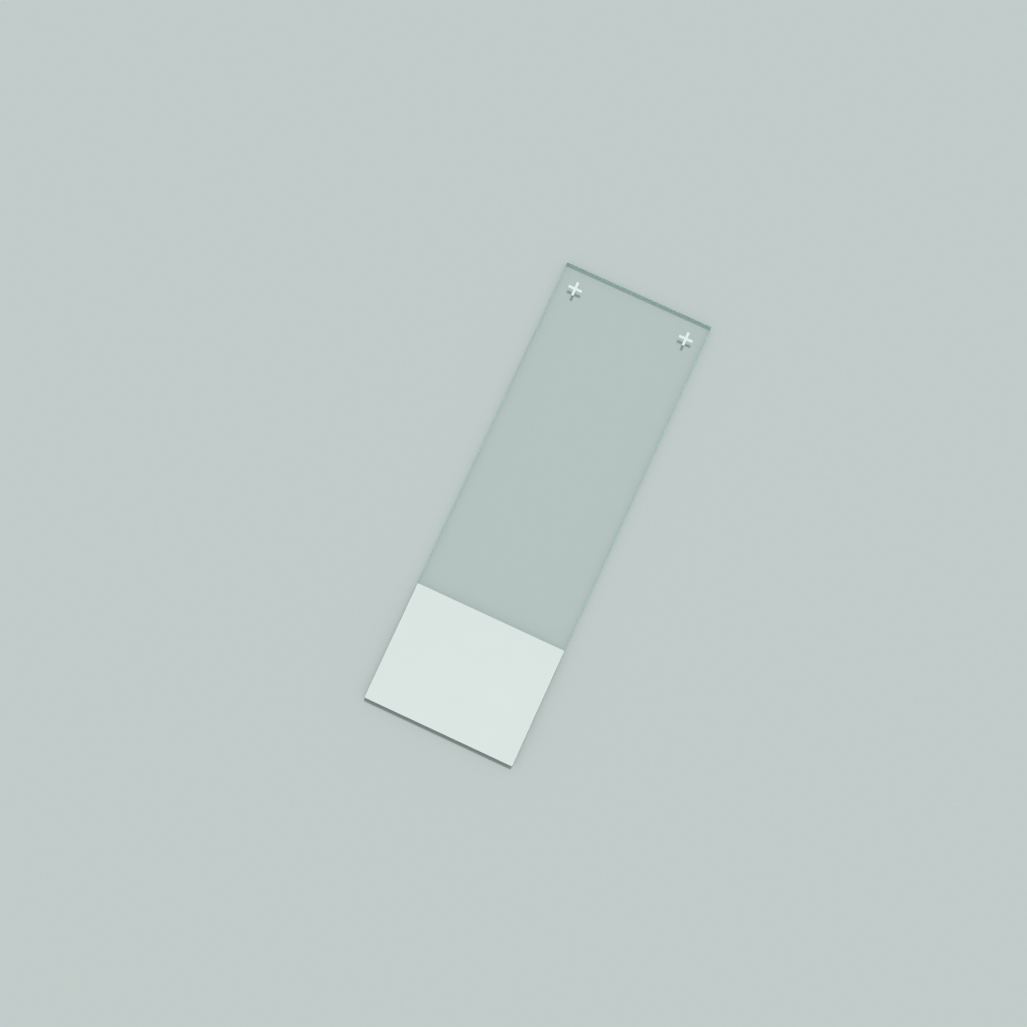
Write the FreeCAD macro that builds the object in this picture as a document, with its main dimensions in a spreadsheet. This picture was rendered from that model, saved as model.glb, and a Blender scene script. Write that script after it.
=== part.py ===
import FreeCAD, Part
import Sketcher
import math
import os

# A microscope slide lying flat, printed side up. The origin is at the middle of
# its underside, +X runs along its length towards the plain end, +Z points up.
# The glass is one piece. The prints are thin coats of ink fused to its top face.

# Driving sizes in millimetres: name, value, what it measures.
SIZES = (
    ("slide_length", 75.0, "glass, end to end"),
    ("slide_width", 25.0, "glass, side to side"),
    ("slide_thickness", 1.0, "glass, underside to top face"),
    ("arris_width", 0.08, "small bevel ground along every edge of both faces"),
    ("face_corner_radius", 0.15, "round at the corners of the polished faces"),
    ("marking_length", 19.25, "end of the glass to the inner border of the marking area"),
    ("ink_thickness", 0.03, "coat of ink that stands on the glass"),
    ("plus_size", 2.3, "stroke of a plus mark, tip to tip"),
    ("plus_stroke", 0.44, "width of that stroke"),
    ("stroke_end_radius", 0.1, "round at the corners of a stroke's ends"),
    ("plus_from_end", 3.45, "plain end of the glass to the centre of a plus mark"),
    ("plus_from_side", 2.95, "long side of the glass to the centre of a plus mark"),
)
NODES = ("glass_slide", "marking_area", "plus_mark_left", "plus_mark_right")
ON_PLANE = 1e-6

doc = FreeCAD.newDocument("MicroscopeSlide")


def add_size_sheet():
    """The spreadsheet that every sketch, pad, bevel and placement below is bound to."""
    sheet = doc.addObject("Spreadsheet::Sheet", "Sizes")
    for row, (alias, value, meaning) in enumerate(SIZES, start=1):
        sheet.set(f"A{row}", meaning)
        sheet.set(f"B{row}", str(value))
        sheet.setAlias(f"B{row}", alias)
    doc.recompute()
    return sheet


def add_body(label):
    body = doc.addObject("PartDesign::Body", label)
    body.Label = label
    return body


def rounded_rectangle(body, name, length, width, radius):
    """A sketch on the body's XY plane, centred on its origin, with equal rounds at
    its four corners. length, width and radius are expressions on the size sheet."""
    half_length = body.evalExpression(length) / 2
    half_width = body.evalExpression(width) / 2
    corner = body.evalExpression(radius)
    sketch = body.newObject("Sketcher::SketchObject", name)
    plane = next(p for p in body.Origin.OriginFeatures if p.Role == "XY_Plane")
    sketch.AttachmentSupport = [(plane, "")]
    sketch.MapMode = "FlatFace"

    def side(start_x, start_y, end_x, end_y):
        start = FreeCAD.Vector(start_x, start_y, 0)
        end = FreeCAD.Vector(end_x, end_y, 0)
        return sketch.addGeometry(Part.LineSegment(start, end), False)

    def corner_arc(x, y, quarter):
        circle = Part.Circle(FreeCAD.Vector(x, y, 0), FreeCAD.Vector(0, 0, 1), corner)
        first = quarter * math.pi / 2
        return sketch.addGeometry(Part.ArcOfCircle(circle, first, first + math.pi / 2), False)

    inner_x = half_length - corner
    inner_y = half_width - corner
    front = side(-inner_x, -half_width, inner_x, -half_width)
    right = side(half_length, -inner_y, half_length, inner_y)
    back = side(inner_x, half_width, -inner_x, half_width)
    left = side(-half_length, inner_y, -half_length, -inner_y)
    front_right = corner_arc(inner_x, -inner_y, 3)
    back_right = corner_arc(inner_x, inner_y, 0)
    back_left = corner_arc(-inner_x, inner_y, 1)
    front_left = corner_arc(-inner_x, -inner_y, 2)

    start, end, centre = 1, 2, 3
    origin = -1
    loop = (front, front_right, right, back_right, back, back_left, left, front_left)
    for piece, following in zip(loop, loop[1:] + loop[:1]):
        sketch.addConstraint(Sketcher.Constraint("Tangent", piece, end, following, start))
    for line in (front, back):
        sketch.addConstraint(Sketcher.Constraint("Horizontal", line))
    for line in (right, left):
        sketch.addConstraint(Sketcher.Constraint("Vertical", line))
    for arc in (back_right, back_left, front_left):
        sketch.addConstraint(Sketcher.Constraint("Equal", front_right, arc))
    about_origin = ("Symmetric", front_left, centre, back_right, centre, origin, start)
    sketch.addConstraint(Sketcher.Constraint(*about_origin))

    sized = (
        ("Length", ("DistanceX", left, end, right, start, 2 * half_length), length),
        ("Width", ("DistanceY", front, start, back, end, 2 * half_width), width),
        ("Corner", ("Radius", front_right, corner), radius),
    )
    for label, constraint, expression in sized:
        index = sketch.addConstraint(Sketcher.Constraint(*constraint))
        sketch.renameConstraint(index, label)
        sketch.setExpression(f"Constraints.{label}", expression)
    doc.recompute()
    return sketch


def add_pad(body, sketch, name, height):
    """The sketch raised along +Z by the height that an expression gives."""
    pad = body.newObject("PartDesign::Pad", name)
    pad.Profile = sketch
    pad.setExpression("Length", height)
    sketch.Visibility = False
    doc.recompute()
    return pad


def place(body, x, y, z):
    """Binds where the body's own origin lies to expressions on the size sheet."""
    for axis, expression in (("x", x), ("y", y), ("z", z)):
        body.setExpression(f"Placement.Base.{axis}", expression)


def glass_slide():
    """Cut from drawn sheet glass. Its narrow sides are ground square, and a small
    arris is ground along both faces, round the corners too, so no edge is sharp."""
    body = add_body("glass_slide")
    outline = rounded_rectangle(
        body,
        "CutOutline",
        "Sizes.slide_length",
        "Sizes.slide_width",
        "Sizes.face_corner_radius + Sizes.arris_width",
    )
    plate = add_pad(body, outline, "Plate", "Sizes.slide_thickness")
    thickness = plate.Length.Value
    face_edges = []
    for number, edge in enumerate(plate.Shape.Edges, start=1):
        low, high = edge.BoundBox.ZMin, edge.BoundBox.ZMax
        if high < ON_PLANE or low > thickness - ON_PLANE:
            face_edges.append(f"Edge{number}")
    arris = body.newObject("PartDesign::Chamfer", "GroundArris")
    arris.Base = (plate, face_edges)
    arris.setExpression("Size", "Sizes.arris_width")
    place(body, "0", "0", "0")


def marking_area():
    """A field of matt ink for pencil or labels, printed over the full width of the
    polished face at one end. It runs out to the arris and has that face's corners."""
    body = add_body("marking_area")
    outline = rounded_rectangle(
        body,
        "InkOutline",
        "Sizes.marking_length - Sizes.arris_width",
        "Sizes.slide_width - 2 * Sizes.arris_width",
        "Sizes.face_corner_radius",
    )
    add_pad(body, outline, "InkField", "Sizes.ink_thickness")
    place(
        body,
        "(Sizes.marking_length + Sizes.arris_width - Sizes.slide_length) / 2",
        "0",
        "Sizes.slide_thickness",
    )


def plus_mark(label, side):
    """One of the pair of plus signs printed near the corners of the plain end: two
    crossing strokes of ink. side is 1 for the left one, seen along +X, else -1."""
    body = add_body(label)
    strokes = (
        ("AlongStroke", "Sizes.plus_size", "Sizes.plus_stroke"),
        ("AcrossStroke", "Sizes.plus_stroke", "Sizes.plus_size"),
    )
    for name, length, width in strokes:
        outline = rounded_rectangle(
            body, name + "Outline", length, width, "Sizes.stroke_end_radius"
        )
        add_pad(body, outline, name, "Sizes.ink_thickness")
    place(
        body,
        "Sizes.slide_length / 2 - Sizes.plus_from_end",
        f"{side} * (Sizes.slide_width / 2 - Sizes.plus_from_side)",
        "Sizes.slide_thickness",
    )


def check_and_export():
    """Stops on any failed feature or bad solid, then writes one file for each piece."""
    for item in doc.Objects:
        if "Invalid" in item.State or "Error" in item.State:
            raise RuntimeError(f"{item.Label} failed: {item.State}")
    solids = {item.Label: item.Shape for item in doc.Objects if item.Label in NODES}
    for node in NODES:
        shape = solids[node]
        if shape.isNull() or not shape.isValid() or len(shape.Solids) != 1:
            raise RuntimeError(f"{node} is not one sound solid")
        print(f"{node}: {shape.Volume:.4f} mm3, {shape.BoundBox}")
    os.makedirs("parts", exist_ok=True)
    for node in NODES:
        solids[node].exportStep(f"parts/{node}.step")


add_size_sheet()
glass_slide()
marking_area()
plus_mark("plus_mark_left", 1)
plus_mark("plus_mark_right", -1)
doc.recompute()
check_and_export()
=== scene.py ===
import math

import bmesh
import bpy
from mathutils import Matrix, Vector, noise


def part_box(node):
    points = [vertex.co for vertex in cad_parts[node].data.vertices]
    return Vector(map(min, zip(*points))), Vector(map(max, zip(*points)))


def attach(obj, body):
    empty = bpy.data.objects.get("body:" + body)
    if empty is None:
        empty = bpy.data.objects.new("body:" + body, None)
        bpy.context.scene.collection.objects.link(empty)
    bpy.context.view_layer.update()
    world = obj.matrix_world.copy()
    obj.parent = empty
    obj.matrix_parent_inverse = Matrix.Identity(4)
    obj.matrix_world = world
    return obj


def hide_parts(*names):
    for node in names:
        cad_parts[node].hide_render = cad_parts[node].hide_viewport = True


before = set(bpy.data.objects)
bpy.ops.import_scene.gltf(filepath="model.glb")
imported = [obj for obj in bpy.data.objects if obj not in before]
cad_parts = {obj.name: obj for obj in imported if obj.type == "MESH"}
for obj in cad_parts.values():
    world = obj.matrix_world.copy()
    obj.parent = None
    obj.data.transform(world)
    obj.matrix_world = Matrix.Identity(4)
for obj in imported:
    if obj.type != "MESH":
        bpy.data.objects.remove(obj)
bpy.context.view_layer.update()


# ---------------------------------------------------------------- the glass
# One sheet of soda-lime glass, drawn flat with fire-polished faces and cut to size.
# Its four narrow sides are ground square on a fine wheel, which also breaks every
# edge with a small arris. It lies on its underside.

GLASS_LOW, GLASS_HIGH = (Vector(corner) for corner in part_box("glass_slide"))
PRINT_LOW, PRINT_HIGH = (Vector(corner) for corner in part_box("marking_area"))
THICKNESS = GLASS_HIGH.z - GLASS_LOW.z
ARRIS = PRINT_LOW.y - GLASS_LOW.y
FACE_CORNER_RADIUS = 0.00015
SIDE_ROWS = 4
CORNER_STEP = math.radians(11)
CREASE = math.radians(28)
GRIND_STEP = 0.00016
GRIND_WANDER = 0.000020
FACE_WANDER_SIZE = 0.0011
SIDE_WANDER_SIZE = 0.0009
GRIND_RIPPLE = 0.000005
RIPPLE_SIZE = 0.0008
NOISE_PLANE = 0.37


def corner_arc(before, corner, after, radius):
    """Points round one corner of an outline that runs anticlockwise. A point comes
    with the way out of the outline."""
    arriving = (corner - before).normalized()
    leaving = (after - corner).normalized()
    turn = math.atan2(arriving.cross(leaving), arriving.dot(leaving))
    outward = Vector((arriving.y, -arriving.x))
    bend = math.copysign(radius, turn)
    centre = corner - arriving * bend * math.tan(turn / 2) - outward * bend
    pieces = max(3, round(abs(turn) / CORNER_STEP))
    arc = []
    for number in range(pieces + 1):
        way = outward.copy()
        way.rotate(Matrix.Rotation(turn * number / pieces, 2))
        arc.append((centre + way * bend, way))
    return arc


def rounded(corners, radii, step):
    """A closed outline with its corners rounded and points about a step apart on its
    straight runs. A point comes with its way out and its distance along the outline."""
    arcs = []
    for index, corner in enumerate(corners):
        after = corners[(index + 1) % len(corners)]
        arcs.append(corner_arc(corners[index - 1], corner, after, radii[index]))
    points = []
    for arc, following in zip(arcs, arcs[1:] + arcs[:1]):
        points += arc
        end, way = arc[-1]
        start = following[0][0]
        pieces = max(1, round((start - end).length / step))
        points += [(end.lerp(start, number / pieces), way) for number in range(1, pieces)]
    outline = []
    run = 0.0
    previous = points[0][0]
    for point, way in points:
        run += (point - previous).length
        previous = point
        outline.append((point, way, run))
    return outline


def rectangle(low, high):
    corners = ((low.x, low.y), (high.x, low.y), (high.x, high.y), (low.x, high.y))
    return [Vector(corner) for corner in corners]


def wander(run, size, seed):
    """Smooth noise from 0 to 1 along an edge, with features of this size. Each seed
    gives noise of its own."""
    level = 0.5 + noise.noise(Vector((run / size, seed, NOISE_PLANE)))
    return min(1.0, max(0.0, level))


def shell(name, outline, rings, finish, ground_bands=()):
    """A closed shell on an outline, with flat ends. A ring is a function that gives,
    for the distance along the outline, how far in it lies and its height. The bands
    between rings that are named as ground are marked so for the finish."""
    mesh = bmesh.new()
    ground = mesh.faces.layers.float.new("ground")
    loops = []
    for ring in rings:
        loop = []
        for point, way, run in outline:
            inset, height = ring(run)
            loop.append(mesh.verts.new((*(point - way * inset), height)))
        loops.append(loop)
    mesh.faces.new(loops[0][::-1])
    mesh.faces.new(loops[-1])
    for band, (lower, upper) in enumerate(zip(loops, loops[1:])):
        for index, vertex in enumerate(lower):
            following = (index + 1) % len(lower)
            face = mesh.faces.new((vertex, lower[following], upper[following], upper[index]))
            face.smooth = True
            face[ground] = float(band in ground_bands)
    data = bpy.data.meshes.new(name)
    mesh.to_mesh(data)
    mesh.free()
    data.set_sharp_from_angle(angle=CREASE)
    data.materials.append(finish)
    piece = bpy.data.objects.new(name, data)
    bpy.context.scene.collection.objects.link(piece)
    return piece


class Value:
    """One output of a node. Python's operators on it add Math nodes."""

    def __init__(self, board, socket):
        self.board = board
        self.socket = socket

    def maths(self, operation, *values):
        inputs = dict(enumerate(values))
        return self.board.node("ShaderNodeMath", {"operation": operation}, inputs)

    def __add__(self, other):
        return self.maths("ADD", self, other)

    def __sub__(self, other):
        return self.maths("SUBTRACT", self, other)

    def __rsub__(self, other):
        return self.maths("SUBTRACT", other, self)

    def __mul__(self, other):
        return self.maths("MULTIPLY", self, other)

    def __abs__(self):
        return self.maths("ABSOLUTE", self)

    __radd__ = __add__
    __rmul__ = __mul__

    def larger(self, other):
        return self.maths("MAXIMUM", self, other)

    def smaller(self, other):
        return self.maths("MINIMUM", self, other)

    def ramp(self, low, high):
        """0 where this is at or below low, 1 at or above high, even in between."""
        return ((self - low) * (1 / (high - low))).larger(0.0).smaller(1.0)


class Board:
    """The node tree of a material or of the world, emptied and ready to fill."""

    def __init__(self, owner):
        owner.use_nodes = True
        self.owner = owner
        self.tree = owner.node_tree
        self.tree.nodes.clear()

    def node(self, kind, settings=None, inputs=None, output=0):
        """Adds a node: its settings first, then the values or links of its sockets."""
        made = self.tree.nodes.new(kind)
        for name, value in (settings or {}).items():
            setattr(made, name, value)
        for name, value in (inputs or {}).items():
            if isinstance(value, Value):
                self.tree.links.new(value.socket, made.inputs[name])
            else:
                made.inputs[name].default_value = value
        return Value(self, made.outputs[output]) if made.outputs else None

    def place(self, axis):
        """How far along X, Y or Z a point of the piece lies, in metres."""
        point = self.node("ShaderNodeTexCoord", output="Object")
        return self.node("ShaderNodeSeparateXYZ", None, {0: point}, axis)

    def grain(self, size, detail=2.0, stretch=(1, 1, 1)):
        """Noise around 0.5 with features of this size in metres, drawn out along X, Y
        and Z by stretch."""
        point = self.node("ShaderNodeTexCoord", output="Object")
        per_metre = [1 / (size * factor) for factor in stretch]
        scaling = {"operation": "MULTIPLY"}
        scaled = self.node("ShaderNodeVectorMath", scaling, {0: point, 1: per_metre})
        inputs = {"Vector": scaled, "Scale": 1.0, "Detail": detail}
        return self.node("ShaderNodeTexNoise", None, inputs)

    def relief(self, height, depth):
        """The normal of a surface whose height from 0 to 1 stands for depth in metres."""
        inputs = {"Height": height, "Distance": depth, "Strength": 1.0}
        return self.node("ShaderNodeBump", None, inputs)

    def colour_between(self, share, first, second):
        """A mix of two colours. They go in at 6 and 7, and the mix comes out at 2."""
        inputs = {0: share, 6: first, 7: second}
        return self.node("ShaderNodeMix", {"data_type": "RGBA"}, inputs, 2)

    def shades(self, share, colour, spread):
        """From a shade darker than this colour to a shade lighter."""
        darker = opaque(colour, 1 - spread)
        lighter = opaque(colour, 1 + spread)
        return self.colour_between(share, darker, lighter)

    def shader_between(self, share, first, second):
        return self.node("ShaderNodeMixShader", None, {0: share, 1: first, 2: second})

    def for_ray(self, kind):
        """1 for a ray of this kind, else 0."""
        return self.node("ShaderNodeLightPath", output=kind)

    def clear(self, tint):
        return self.node("ShaderNodeBsdfTransparent", None, {"Color": opaque(tint)})

    def finished(self, kind, **outputs):
        """Joins the shaders to the output and gives back the material or world."""
        self.node(kind, None, outputs)
        return self.owner


def opaque(colour, brightness=1.0):
    return [min(1.0, brightness * channel) for channel in colour] + [1.0]


CLEAR = (0.99, 1.0, 0.995)
SODA_LIME_IOR = 1.52
SEA_GREEN = (0.0, 0.80, 0.66)
GREENING_PER_METRE = 18.0
WAVE_SIZE = 0.018
WAVE_STRETCH = (3, 1, 1)
WAVE_DEPTH = 0.000002
FROST_DEPTH = 0.000012
# Colours of the ground sides: partly the glass's own green, partly painted glow of the light that
# runs inside the sheet.
FROST_AND_GLOW_DEEP = (0.36, 0.78, 0.68)
FROST_AND_GLOW_PALE = (0.46, 0.88, 0.79)
FROST_MOTTLE_SIZE = 0.0004
FROST_ROUGHNESS = 0.42
FROST_CLARITY = 0.5
GRIND_LINE_SIZE = 0.00004
GRIND_LINE_STRETCH = (12, 12, 1)
GRIND_LINE_RELIEF = 0.4
CHIP_SIZE = 0.00007
# A painted glint: the chips that glint are coloured near white.
CHIP_PAINTED_GLINT = (0.85, 1.0, 0.97)
CHIP_SMOOTHER_BY = 0.20
CHIPS_FROM = 0.58
CHIPS_FULL = 0.68
CHIP_RELIEF = 0.6
PAST_FACE = (0.95, 0.95, 0.955)
PAST_FROST = (0.26, 0.35, 0.32)
SHADING_FULL = 0.66
SHADING_GONE = 0.76


def straight_light(board, ground):
    """Clear, with the tint that light keeps as it crosses a face or a ground side on its
    way to the table. Real light bends down as it enters the top face, so a side shades
    a narrower strip than straight light would. Only its lower part shades here."""
    height = (board.place("Z") - GLASS_LOW.z) * (1 / THICKNESS)
    shading = ground * (1 - height.ramp(SHADING_FULL, SHADING_GONE))
    return board.shader_between(shading, board.clear(PAST_FACE), board.clear(PAST_FROST))


def slide_glass():
    """Clear glass with polished faces that have the faint long waves of drawn glass.
    The ground sides are frosted half matt and lined along the way they were ground, where
    the light that runs inside the sheet comes out sea green. That sea green is partly the
    glass's own and partly painted glow in the colour of the sides, and their chips carry
    painted glints as well as a smoother finish."""
    board = Board(bpy.data.materials.new("slide_glass"))
    ground = board.node("ShaderNodeAttribute", {"attribute_name": "ground"}, output="Fac")
    mottle = board.grain(FROST_MOTTLE_SIZE)
    chips = board.grain(CHIP_SIZE)
    glint = chips.ramp(CHIPS_FROM, CHIPS_FULL)
    # Painted glow: the sea green of the ground sides stands partly for light that comes out of
    # the sheet there.
    satin_and_glow = board.colour_between(mottle, opaque(FROST_AND_GLOW_DEEP), opaque(FROST_AND_GLOW_PALE))
    # Painted glints: near-white colour on the glinting chips. Their lower roughness is real.
    frost_glow_and_glints = board.colour_between(glint, satin_and_glow, opaque(CHIP_PAINTED_GLINT))
    lines = board.grain(GRIND_LINE_SIZE, stretch=GRIND_LINE_STRETCH)
    waves = board.grain(WAVE_SIZE, 1.0, WAVE_STRETCH)
    frost_relief = ground * (CHIP_RELIEF * chips + GRIND_LINE_RELIEF * lines)
    wave_relief = (1 - ground) * (WAVE_DEPTH / FROST_DEPTH) * waves
    surface = {
        "Base Color": board.colour_between(ground, opaque(CLEAR), frost_glow_and_glints),
        "Roughness": ground * (FROST_ROUGHNESS - CHIP_SMOOTHER_BY * glint),
        "IOR": SODA_LIME_IOR,
        "Normal": board.relief(frost_relief + wave_relief, FROST_DEPTH),
    }

    def glass_that_passes(share):
        inputs = dict(surface)
        inputs["Transmission Weight"] = share
        return board.node("ShaderNodeBsdfPrincipled", None, inputs)

    glass = board.shader_between(ground, glass_that_passes(1.0), glass_that_passes(FROST_CLARITY))
    straight = straight_light(board, ground)
    for kind in ("Is Shadow Ray", "Is Diffuse Ray"):
        glass = board.shader_between(board.for_ray(kind), glass, straight)
    green = {"Color": opaque(SEA_GREEN), "Density": GREENING_PER_METRE}
    depth = board.node("ShaderNodeVolumeAbsorption", None, green)
    return board.finished("ShaderNodeOutputMaterial", Surface=glass, Volume=depth)


def face_border(height, seed):
    """The wandering line where a polished face meets its arris."""

    def ring(run):
        return ARRIS - GRIND_WANDER * wander(run, FACE_WANDER_SIZE, seed), height

    return ring


def side_row(share):
    """A row of the ground side. share is how far up it lies, from -1 to 1. The rows at
    -1 and 1 wander where they meet the arris, and all of them ripple inwards."""
    drift = GRIND_WANDER if abs(share) == 1 else 0.0

    def ring(run):
        rise = share * (THICKNESS / 2 - ARRIS - drift * wander(run, SIDE_WANDER_SIZE, 8.5))
        ripple = GRIND_RIPPLE * wander(run, RIPPLE_SIZE, 5.5 + share)
        return ripple, GLASS_LOW.z + THICKNESS / 2 + rise

    return ring


def glass_plate():
    side = rectangle(GLASS_LOW, GLASS_HIGH)
    outline = rounded(side, [FACE_CORNER_RADIUS + ARRIS] * 4, GRIND_STEP)
    rows = [side_row(2 * row / SIDE_ROWS - 1) for row in range(SIDE_ROWS + 1)]
    rings = [face_border(GLASS_LOW.z, 1.5)] + rows + [face_border(GLASS_HIGH.z, 9.5)]
    plate = shell("glass_plate", outline, rings, slide_glass(), range(len(rings) - 1))
    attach(plate, "root")
    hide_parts("glass_slide")


glass_plate()


# ------------------------------------------------------------ the marking area
# A field of matt white ink, screen-printed over the full width of the top face at one
# end and baked on. It takes pencil. Ink piles up in a low bead along the edge of the
# stencil, and the weave of the screen leaves a fine tooth.

INK_STEP = 0.00016
INK_SUNK = 0.000002
INK_BEAD = 0.000004
INK_WOBBLE = 0.000008
INK_WOBBLE_SIZE = 0.0006
INK_IOR = 1.5
INK_SHEEN = 0.35
INK_CLOUD_SIZE = 0.006
INK_UNEVENNESS = 0.015
INK_ROUGHNESS_SPREAD = 0.1
TOOTH_SIZE = 0.00006
TOOTH_DEPTH = 0.000008
TOOTH_RELIEF = 0.7
SCREEN_SIZE = 0.0004
SCREEN_RELIEF = 0.3
FIELD_BEAD_WIDTH = 0.00014
MARKING_WHITE = (0.701, 0.784, 0.757)
MARKING_RIM = (0.79, 0.89, 0.86)
MARKING_RIM_SHARE = 0.6
MARKING_ROUGHNESS = 0.62


def ink_rings(low, high, seed, bead_width):
    """The rings of a printed coat: a foot sunk in the glass, a round shoulder, the
    bead along its edge and then the field."""
    thick = high.z - low.z
    profile = (
        (0.06 * thick, low.z - INK_SUNK),
        (0.0, low.z + 0.10 * thick),
        (0.05 * thick, low.z + 0.55 * thick),
        (0.30 * thick, low.z + 0.88 * thick),
        (0.75 * thick, high.z),
        (0.45 * bead_width, high.z - 0.35 * INK_BEAD),
        (bead_width, high.z - INK_BEAD),
    )

    def ring(inset, height):
        return lambda run: (inset + INK_WOBBLE * wander(run, INK_WOBBLE_SIZE, seed), height)

    return [ring(inset, height) for inset, height in profile]


def printed_ink(name, white, roughness, rim=None, rim_white=None):
    """Baked ink: a shade uneven, lighter on the bead, with the tooth of the print."""
    board = Board(bpy.data.materials.new(name))
    tone = board.shades(board.grain(INK_CLOUD_SIZE), white, INK_UNEVENNESS)
    if rim is not None:
        tone = board.colour_between(rim(board), tone, opaque(rim_white))
    tooth = TOOTH_RELIEF * board.grain(TOOTH_SIZE, 3.0) + SCREEN_RELIEF * board.grain(SCREEN_SIZE)
    surface = {
        "Base Color": tone,
        "Roughness": roughness + INK_ROUGHNESS_SPREAD * (tooth - 0.5),
        "IOR": INK_IOR,
        "Specular IOR Level": INK_SHEEN,
        "Normal": board.relief(tooth, TOOTH_DEPTH),
    }
    ink = board.node("ShaderNodeBsdfPrincipled", None, surface)
    return board.finished("ShaderNodeOutputMaterial", Surface=ink)


def marking_field():
    middle = (PRINT_LOW + PRINT_HIGH) / 2
    half = (PRINT_HIGH - PRINT_LOW) / 2
    outline = rounded(rectangle(PRINT_LOW, PRINT_HIGH), [FACE_CORNER_RADIUS] * 4, INK_STEP)

    def rim(board):
        """Rises over the bead to the border of the field."""
        along = abs(board.place("X") - middle.x) - half.x
        across = abs(board.place("Y") - middle.y) - half.y
        return MARKING_RIM_SHARE * along.larger(across).ramp(-FIELD_BEAD_WIDTH, 0.0)

    ink = printed_ink("marking_ink", MARKING_WHITE, MARKING_ROUGHNESS, rim, MARKING_RIM)
    rings = ink_rings(PRINT_LOW, PRINT_HIGH, 21.5, FIELD_BEAD_WIDTH)
    field = shell("marking_field", outline, rings, ink)
    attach(field, "root")
    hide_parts("marking_area")


marking_field()


# --------------------------------------------------------------- the plus marks
# Two small plus signs in white ink, printed near the corners of the plain end with
# the same screen. Their strokes have soft ends and a trace of ink in the crooks.

PLUS_STROKE = 0.00044
STROKE_END_RADIUS = 0.00010
CROOK_RADIUS = 0.00005
PLUS_STEP = 0.00008
PLUS_BEAD_WIDTH = 0.00008
PLUS_WHITE = (0.73, 0.83, 0.82)
PLUS_ROUGHNESS = 0.5


def plus_sign(node, name, ink, seed):
    low, high = (Vector(corner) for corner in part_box(node))
    middle = ((low + high) / 2).xy
    reach = (high.x - low.x) / 2
    half = PLUS_STROKE / 2
    corners = []
    for quarter in range(4):
        turn = Matrix.Rotation(quarter * math.pi / 2, 2)
        for corner in ((reach, -half), (reach, half), (half, half)):
            corners.append(middle + turn @ Vector(corner))
    radii = [STROKE_END_RADIUS, STROKE_END_RADIUS, CROOK_RADIUS] * 4
    rings = ink_rings(low, high, seed, PLUS_BEAD_WIDTH)
    sign = shell(name, rounded(corners, radii, PLUS_STEP), rings, ink)
    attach(sign, "root")
    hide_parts(node)


plus_ink = printed_ink("plus_ink", PLUS_WHITE, PLUS_ROUGHNESS)
plus_sign("plus_mark_left", "plus_sign_left", plus_ink, 31.5)
plus_sign("plus_mark_right", "plus_sign_right", plus_ink, 32.5)


# --------------------------------------------------------- the floor and the light
# A plain pale table top. A film of air keeps the glass a hair above it. A soft lamp
# high beyond the plain end gives half of the light, and the pale room the other half.

AIR_FILM = 0.00003
TABLE_SIZE = 12.0
TABLE_TONE = (0.535, 0.605, 0.590)
TABLE_UNEVENNESS = 0.015
TABLE_SPECKLE_SIZE = 0.0007
WHITE = (1.0, 1.0, 1.0)
ROOM_SHARE = 0.5
LAMP_BEARING = math.radians(4)
LAMP_HEIGHT = math.radians(56)
LAMP_WIDTH = math.radians(9)


def table_top():
    board = Board(bpy.data.materials.new("table_top"))
    tone = board.shades(board.grain(TABLE_SPECKLE_SIZE, 3.0), TABLE_TONE, TABLE_UNEVENNESS)
    matt = board.node("ShaderNodeBsdfDiffuse", None, {"Color": tone})
    mesh = bmesh.new()
    bmesh.ops.create_grid(mesh, x_segments=1, y_segments=1, size=TABLE_SIZE / 2)
    data = bpy.data.meshes.new("table_top")
    mesh.to_mesh(data)
    mesh.free()
    data.materials.append(board.finished("ShaderNodeOutputMaterial", Surface=matt))
    table = bpy.data.objects.new("table_top", data)
    table.location.z = GLASS_LOW.z - AIR_FILM
    bpy.context.scene.collection.objects.link(table)


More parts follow.
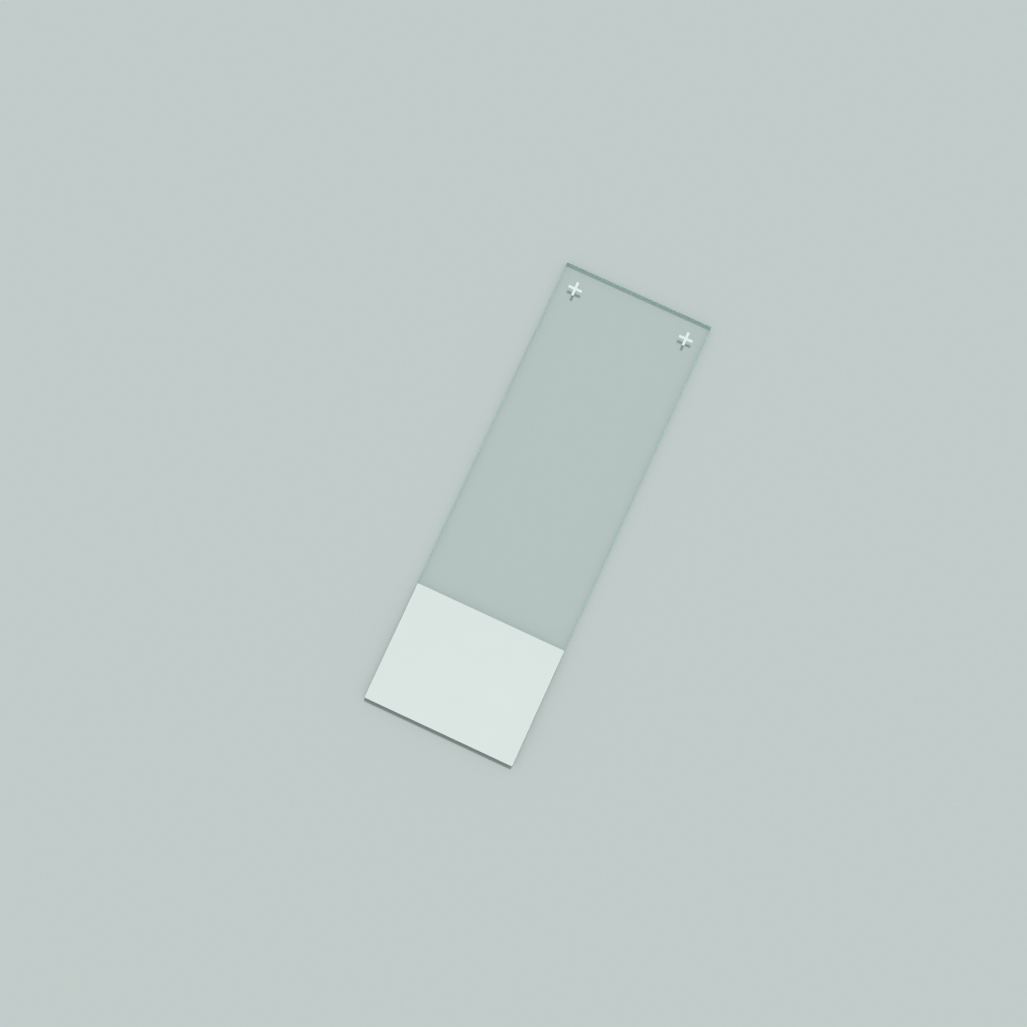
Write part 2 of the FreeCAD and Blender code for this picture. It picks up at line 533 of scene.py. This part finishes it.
def pale_room():
    """White all round as a source of light. Seen past the table or in the glass, it
    has the tone of the table."""
    board = Board(bpy.data.worlds.new("pale_room"))

    def glow(colour, strength):
        inputs = {"Color": opaque(colour), "Strength": strength}
        return board.node("ShaderNodeBackground", None, inputs)

    light = glow(WHITE, ROOM_SHARE)
    backdrop = glow(TABLE_TONE, 1.0)
    for kind in ("Is Camera Ray", "Is Glossy Ray", "Is Transmission Ray"):
        light = board.shader_between(board.for_ray(kind), light, backdrop)
    bpy.context.scene.world = board.finished("ShaderNodeOutputWorld", Surface=light)


def soft_lamp():
    """Far off, so that the table is lit evenly, and wide, so that shadows are soft."""
    lamp = bpy.data.lights.new("soft_lamp", "SUN")
    lamp.angle = LAMP_WIDTH
    lamp.energy = math.pi * (1 - ROOM_SHARE) / math.sin(LAMP_HEIGHT)
    stand = bpy.data.objects.new("soft_lamp", lamp)
    towards = Vector((math.cos(LAMP_BEARING), math.sin(LAMP_BEARING), math.tan(LAMP_HEIGHT)))
    stand.rotation_euler = towards.to_track_quat("Z", "Y").to_euler()
    bpy.context.scene.collection.objects.link(stand)


table_top()
pale_room()
soft_lamp()


# ------------------------------------------------------------------- the camera
# It looks down on the slide from above its middle, a little off the plumb line, and
# is turned so that the slide runs up to the right.

CAMERA_LENS = 35.05
CAMERA_SENSOR = 36.0
CAMERA_NEAR = 0.005
CAMERA_FAR = 30.0
CAMERA_AIM = Vector((-0.00231, 0.00352, GLASS_HIGH.z))
CAMERA_LEAN = Vector((-0.0729, -0.0290, 0.9969))
CAMERA_REACH = 0.15495
PICTURE_UP = math.radians(24.74)


def camera():
    data = bpy.data.cameras.new("camera")
    data.lens = CAMERA_LENS
    data.sensor_width = CAMERA_SENSOR
    data.clip_start = CAMERA_NEAR
    data.clip_end = CAMERA_FAR
    eye = bpy.data.objects.new("camera", data)
    back = CAMERA_LEAN.normalized()
    upward = Vector((math.cos(PICTURE_UP), math.sin(PICTURE_UP), 0))
    right = upward.cross(back).normalized()
    turned = Matrix((right, back.cross(right), back)).transposed().to_4x4()
    eye.matrix_world = Matrix.Translation(CAMERA_AIM + back * CAMERA_REACH) @ turned
    bpy.context.scene.collection.objects.link(eye)
    bpy.context.scene.camera = eye


camera()
bpy.context.scene.view_settings.view_transform = "Standard"
